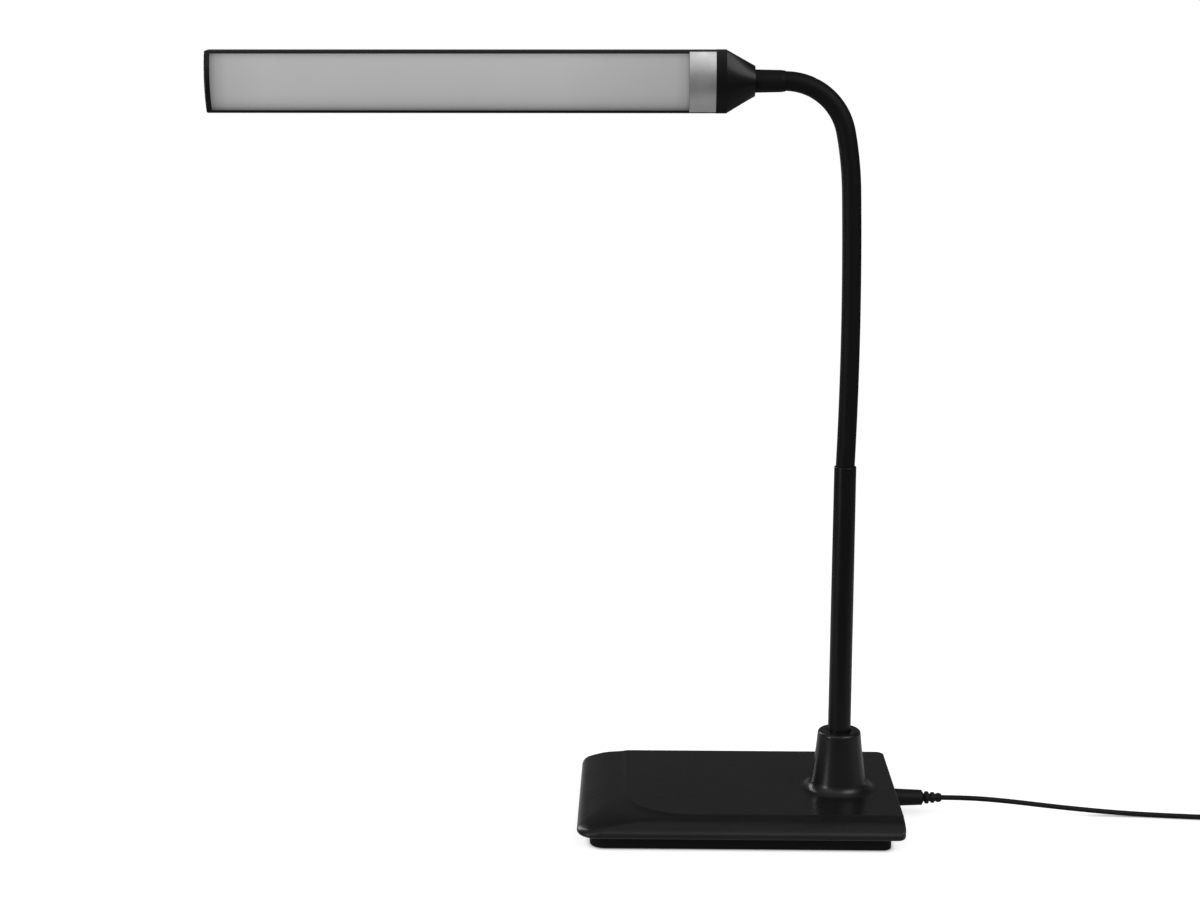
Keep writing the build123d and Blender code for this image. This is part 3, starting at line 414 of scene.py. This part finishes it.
class Shader:
    """A Principled material with helpers for its nodes."""

    def __init__(self, name, colour, roughness, metallic=0.0, specular=0.5):
        self.material = bpy.data.materials.new(name)
        self.material.use_nodes = True
        self.tree = self.material.node_tree
        self.bsdf = self.tree.nodes["Principled BSDF"]
        self.colour = linear(colour)
        self.set("Base Color", self.colour)
        self.set("Roughness", roughness)
        self.set("Metallic", metallic)
        self.set("Specular IOR Level", specular)
        self.place = self.node("ShaderNodeTexCoord").outputs["Object"]
        self.height = None

    def node(self, kind, **values):
        made = self.tree.nodes.new(kind)
        for key, value in values.items():
            setattr(made, key, value)
        return made

    def link(self, a, b):
        self.tree.links.new(a, b)

    def set(self, socket, value):
        self.bsdf.inputs[socket].default_value = value

    def noise(self, scale, detail=3.0, stretch=None):
        """Noise of so many cells a metre, drawn out by stretch = (x, y, z) factors."""
        noise = self.node("ShaderNodeTexNoise")
        noise.inputs["Scale"].default_value = scale
        noise.inputs["Detail"].default_value = detail
        place = self.place
        if stretch:
            mapping = self.node("ShaderNodeMapping")
            mapping.inputs["Scale"].default_value = stretch
            self.link(place, mapping.inputs["Vector"])
            place = mapping.outputs["Vector"]
        self.link(place, noise.inputs["Vector"])
        return noise.outputs["Fac"]

    def map(self, value, low, high, to_low, to_high):
        """value from low..high carried to to_low..to_high."""
        node = self.node("ShaderNodeMapRange")
        for key, number in zip(("From Min", "From Max", "To Min", "To Max"), (low, high, to_low, to_high)):
            node.inputs[key].default_value = number
        self.link(value, node.inputs["Value"])
        return node.outputs["Result"]

    def ramp(self, value, stops):
        """value carried through straight runs between (value, result) stops that rise by value."""
        low, high = stops[0][0], stops[-1][0]
        node = self.node("ShaderNodeValToRGB")
        elements = node.color_ramp.elements
        while len(elements) < len(stops):
            elements.new(0.5)
        for element, (at, result) in zip(elements, stops):
            element.position = (at - low) / (high - low)
            element.color = (result, result, result, 1.0)
        self.link(self.map(value, low, high, 0.0, 1.0), node.inputs["Fac"])
        return node.outputs["Color"]

    def vary_colour(self, value, dark, light):
        """Base colour times dark..light as value goes from 0.3 to 0.7."""
        ramp = self.node("ShaderNodeMix", data_type="RGBA")
        ramp.inputs["A"].default_value = (*(c * dark for c in self.colour[:3]), 1)
        ramp.inputs["B"].default_value = (*(min(1, c * light) for c in self.colour[:3]), 1)
        self.link(self.map(value, 0.3, 0.7, 0.0, 1.0), ramp.inputs["Factor"])
        self.link(ramp.outputs["Result"], self.bsdf.inputs["Base Color"])

    def vary_roughness(self, value, low, high):
        self.link(self.map(value, 0.3, 0.7, low, high), self.bsdf.inputs["Roughness"])

    def bump(self, value, depth):
        """Adds relief of so many metres."""
        node = self.node("ShaderNodeBump")
        node.inputs["Distance"].default_value = depth
        self.link(value, node.inputs["Height"])
        if self.height is not None:
            self.link(self.height, node.inputs["Normal"])
        self.height = node.outputs["Normal"]
        self.link(self.height, self.bsdf.inputs["Normal"])

    def paint(self, *names):
        for name in names:
            mesh = (nodes[name] if isinstance(name, str) else name).data
            mesh.materials.clear()
            mesh.materials.append(self.material)


def moulded(name, colour, roughness, specular, grain=2400, depth=0.00001):
    """Moulded plastic: fine spark-eroded grain, with soft changes of gloss and shade."""
    shader = Shader(name, colour, roughness, specular=specular)
    shader.vary_roughness(shader.noise(45), roughness - 0.04, roughness + 0.05)
    shader.vary_colour(shader.noise(28, 2.0), 0.9, 1.1)
    shader.bump(shader.noise(grain, 2.0), depth)
    return shader


moulded("base_plastic", 16, 0.27, 0.28).paint("base_housing")
moulded("tray_plastic", 15, 0.5, 0.1, 1500, 0.00003).paint("base_plate")
moulded("head_plastic", 11, 0.26, 0.2).paint("head_cone", "head_shell", "end_cap")
moulded("post_plastic", 11, 0.3, 0.18).paint("post_sleeve")
moulded("ferrule_plastic", 12, 0.55, 0.1).paint("neck_ferrule")
moulded("adapter_plastic", 30, 0.5, 0.4, 1200, 0.00004).paint("adapter_case")
moulded("lead_rubber", 18, 0.5, 0.12).paint("plug_body", lead)
moulded("neck_rubber", 11, 0.52, 0.1, 2000).paint(*sleeves)
moulded("pad_rubber", 26, 0.75, 0.25, 900, 0.00006).paint("rubber_pad")
moulded("component_plastic", 28, 0.5, 0.4).paint("board_components", "dc_jack")
moulded("wire_insulation", 30, 0.5, 0.4).paint("base_wire", "head_wire", *wires)
moulded("board_laminate", (26, 88, 52), 0.4, 0.5).paint("control_board", "touch_board")
moulded("white_laminate", 226, 0.45, 0.5).paint("led_board")
moulded("led_package", (238, 214, 130), 0.3, 0.5).paint("leds")


def metal(name, colour, roughness, grain=1800, depth=0.00001, stretch=None):
    """Bare or plated metal with a fine grain."""
    shader = Shader(name, colour, roughness, metallic=1.0)
    shader.vary_roughness(shader.noise(60), roughness - 0.05, roughness + 0.06)
    shader.vary_colour(shader.noise(90, 4.0), 0.92, 1.04)
    shader.bump(shader.noise(grain, 2.0, stretch), depth)
    return shader


metal("plated_steel", 205, 0.3).paint(
    "base_screws", "board_screws", "post_nut", "post_washer", "led_board_screws", "head_screws",
    "swivel_nut", "swivel_washer",
)
metal("weight_iron", 112, 0.7, 500, 0.0001).paint("counterweight")
metal("steel_tube", 188, 0.35).paint("post_tube", "swivel_spindle", *hoses)
metal("contact_brass", (218, 192, 146), 0.3).paint("touch_contact")
metal("contact_nickel", 214, 0.25).paint("plug_barrel", "adapter_prongs")

band = metal("brushed_band", 205, 0.34, 1.0, 0.00002, (5200, 5200, 120))
band.set("Anisotropic", 0.4)
band.paint("touch_plate")

# Painted shade on the cover: millimetres in from each edge, and the level its colour is painted at there. It
# is darker at every edge, where the black channel shades it, darker towards the right end, and a little darker
# in the upper part than the lower, as painted light from below.
LEFT_PAINTED_SHADE = ((0, 0.42), (3, 0.7), (9, 0.9), (30, 1.0))
RIGHT_PAINTED_SHADE = ((70, 1.0), (8, 0.86), (2, 0.72), (0, 0.5))
BOTTOM_PAINTED_SHADE = ((0, 0.25), (1.2, 0.5), (2.5, 0.78), (5, 0.95), (9, 1.0))
TOP_PAINTED_SHADE = ((16, 0.95), (4.5, 0.88), (2.5, 0.78), (1.2, 0.64), (0, 0.3))


def edge_stops(low, high, from_low, from_high):
    """Ramp stops in metres, from the levels near the low edge and near the high one."""
    return [(low + inwards * MM, level) for inwards, level in from_low] + [
        (high - inwards * MM, level) for inwards, level in from_high
    ]


def opal_cover():
    """Milky cover with painted shade: its colour is painted darker at its edges, where the black channel
    shades it, darker towards its right end, and a little darker above than below.
    """
    shader = Shader("opal", 192, 0.4, specular=0.2)
    split = shader.node("ShaderNodeSeparateXYZ")
    shader.link(shader.place, split.inputs[0])
    across, up = split.outputs["X"], split.outputs["Z"]
    low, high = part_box("diffuser")
    # Painted shade: the colour darkens across towards the left and right edges and up towards the bottom and
    # top edges, and the two are multiplied.
    shade = shader.ramp(across, edge_stops(low[0], high[0], LEFT_PAINTED_SHADE, RIGHT_PAINTED_SHADE))
    rise = shader.ramp(up, edge_stops(low[2], high[2], BOTTOM_PAINTED_SHADE, TOP_PAINTED_SHADE))
    painted_shade = shader.node("ShaderNodeMath", operation="MULTIPLY")
    shader.link(shade, painted_shade.inputs[0])
    shader.link(rise, painted_shade.inputs[1])
    cloud = shader.map(shader.noise(22, 2.0), 0.3, 0.7, 0.985, 1.015)
    level = shader.node("ShaderNodeMath", operation="MULTIPLY")
    shader.link(painted_shade.outputs[0], level.inputs[0])
    shader.link(cloud, level.inputs[1])
    tint = shader.node("ShaderNodeMix", data_type="RGBA")
    tint.inputs["A"].default_value = (0.0, 0.0, 0.0, 1.0)
    tint.inputs["B"].default_value = shader.colour
    shader.link(level.outputs[0], tint.inputs["Factor"])
    shader.link(tint.outputs["Result"], shader.bsdf.inputs["Base Color"])
    shader.vary_roughness(shader.noise(60), 0.37, 0.43)
    shader.bump(shader.noise(1600, 2.0), 0.000006)
    return shader


opal_cover().paint("diffuser")


# ---------------------------------------------------------------- studio
def ray_level(tree, levels):
    """The level of the kind of ray that meets the surface, and 0 for the kinds that aren't listed."""
    path = tree.nodes.new("ShaderNodeLightPath")
    total = None
    for kind, level in levels.items():
        add = tree.nodes.new("ShaderNodeMath")
        add.operation = "MULTIPLY_ADD"
        tree.links.new(path.outputs[kind], add.inputs[0])
        add.inputs[1].default_value = level
        add.inputs[2].default_value = 0.0
        if total is not None:
            tree.links.new(total, add.inputs[2])
        total = add.outputs[0]
    return total


FLOOR_LEFT, FLOOR_RIGHT = -0.5, 0.8
FLOOR_FRONT, FLOOR_BACK = -0.22, 0.4
PAINTED_SHADOW_REACH = 0.003


def studio_floor():
    """A grey table top that shows white to the camera and keeps the lamp's shadow, with a painted contact
    shadow where ambient occlusion darkens its glow.
    """
    corners = [
        (FLOOR_LEFT, FLOOR_FRONT, 0),
        (FLOOR_RIGHT, FLOOR_FRONT, 0),
        (FLOOR_RIGHT, FLOOR_BACK, 0),
        (FLOOR_LEFT, FLOOR_BACK, 0),
    ]
    mesh = bpy.data.meshes.new("floor")
    mesh.from_pydata(corners, [], [(0, 1, 2, 3)])
    floor = bpy.data.objects.new("floor", mesh)
    collection.objects.link(floor)
    material = bpy.data.materials.new("floor")
    material.use_nodes = True
    tree = material.node_tree
    bsdf = tree.nodes["Principled BSDF"]
    bsdf.inputs["Base Color"].default_value = (0.5, 0.5, 0.5, 1)
    bsdf.inputs["Roughness"].default_value = 0.9
    bsdf.inputs["Specular IOR Level"].default_value = 0.0
    bsdf.inputs["Emission Color"].default_value = (1, 1, 1, 1)
    # Painted contact shadow: ambient occlusion darkens the floor's glow close to the lamp.
    contact = tree.nodes.new("ShaderNodeAmbientOcclusion")
    contact.inputs["Distance"].default_value = PAINTED_SHADOW_REACH
    glow = tree.nodes.new("ShaderNodeMath")
    glow.operation = "MULTIPLY"
    tree.links.new(contact.outputs["AO"], glow.inputs[0])
    seen = ray_level(tree, {"Is Camera Ray": 0.72, "Is Transmission Ray": 0.72, "Is Glossy Ray": 0.1})
    tree.links.new(seen, glow.inputs[1])
    tree.links.new(glow.outputs[0], bsdf.inputs["Emission Strength"])
    mesh.materials.append(material)


studio_floor()


def softbox(name, place, aim, width, height, power):
    """A rectangular lamp at place that faces aim. Sizes in metres, power in watts."""
    light = bpy.data.lights.new(name, "AREA")
    light.shape = "RECTANGLE"
    light.size = width
    light.size_y = height
    light.energy = power
    lamp = bpy.data.objects.new(name, light)
    lamp.location = place
    lamp.rotation_euler = (Vector(aim) - Vector(place)).to_track_quat("-Z", "Y").to_euler()
    collection.objects.link(lamp)


softbox("right", (0.9, -0.9, 1.15), (0.0, 0.0, 0.4), 0.9, 0.8, 9)
softbox("left", (-1.15, -0.75, 0.32), (0.05, 0.0, 0.1), 0.3, 0.62, 5.0)
softbox("front_left", (-0.6, -0.95, 0.8), (0.06, 0.0, 0.03), 0.16, 0.16, 0.3)
softbox("left_back", (-0.9, 0.9, 0.7), (0.05, 0.0, 0.3), 0.3, 1.0, 6.5)


def studio_world():
    """White to the camera. The light on the lamp, and what it mirrors, is a dim room with a pale ceiling."""
    world = bpy.data.worlds.new("world")
    scene.world = world
    world.use_nodes = True
    tree = world.node_tree
    direction = tree.nodes.new("ShaderNodeTexCoord")
    split = tree.nodes.new("ShaderNodeSeparateXYZ")
    tree.links.new(direction.outputs["Generated"], split.inputs[0])

    def ramp(axis, *stops):
        """A level that runs smoothly through (direction's part along the axis, level) stops."""
        node = tree.nodes.new("ShaderNodeValToRGB")
        node.color_ramp.interpolation = "EASE"
        elements = node.color_ramp.elements
        while len(elements) < len(stops):
            elements.new(0.5)
        for element, (at, level) in zip(elements, stops):
            element.position = (at + 1) / 2
            element.color = (level, level, level, 1.0)
        half = tree.nodes.new("ShaderNodeMath")
        half.operation = "MULTIPLY_ADD"
        half.inputs[1].default_value = 0.5
        half.inputs[2].default_value = 0.5
        tree.links.new(split.outputs[axis], half.inputs[0])
        tree.links.new(half.outputs[0], node.inputs["Fac"])
        return node.outputs["Color"]

    def mix(factor, a, b):
        node = tree.nodes.new("ShaderNodeMix")
        for name, value in (("Factor", factor), ("A", a), ("B", b)):
            if isinstance(value, float):
                node.inputs[name].default_value = value
            else:
                tree.links.new(value, node.inputs[name])
        return node.outputs["Result"]

    low_ahead = (-0.8, 0.25), (-0.6, 0.44), (-0.33, 0.13), (0.0, 0.22)
    high_ahead = (0.4, 0.55), (0.7, 1.15), (1.0, 0.6)
    ahead = ramp("Z", *low_ahead, *high_ahead)
    behind = ramp("Z", (-0.1, 0.1), (0.3, 0.14), (0.6, 0.07), (0.75, 0.1), (1.0, 0.6))
    backdrop = mix(ramp("Y", (0.85, 0.0), (0.98, 1.0)), behind, ramp("Z", (0.03, 0.4), (0.2, 0.1)))
    room = mix(ramp("Y", (-0.2, 0.0), (0.2, 1.0)), ahead, backdrop)
    shown = mix(ray_level(tree, {"Is Camera Ray": 1.0, "Is Transmission Ray": 1.0}), room, 1.0)
    background = tree.nodes["Background"]
    background.inputs["Color"].default_value = (1, 1, 1, 1)
    tree.links.new(shown, background.inputs["Strength"])


studio_world()
scene.view_settings.view_transform = "Standard"
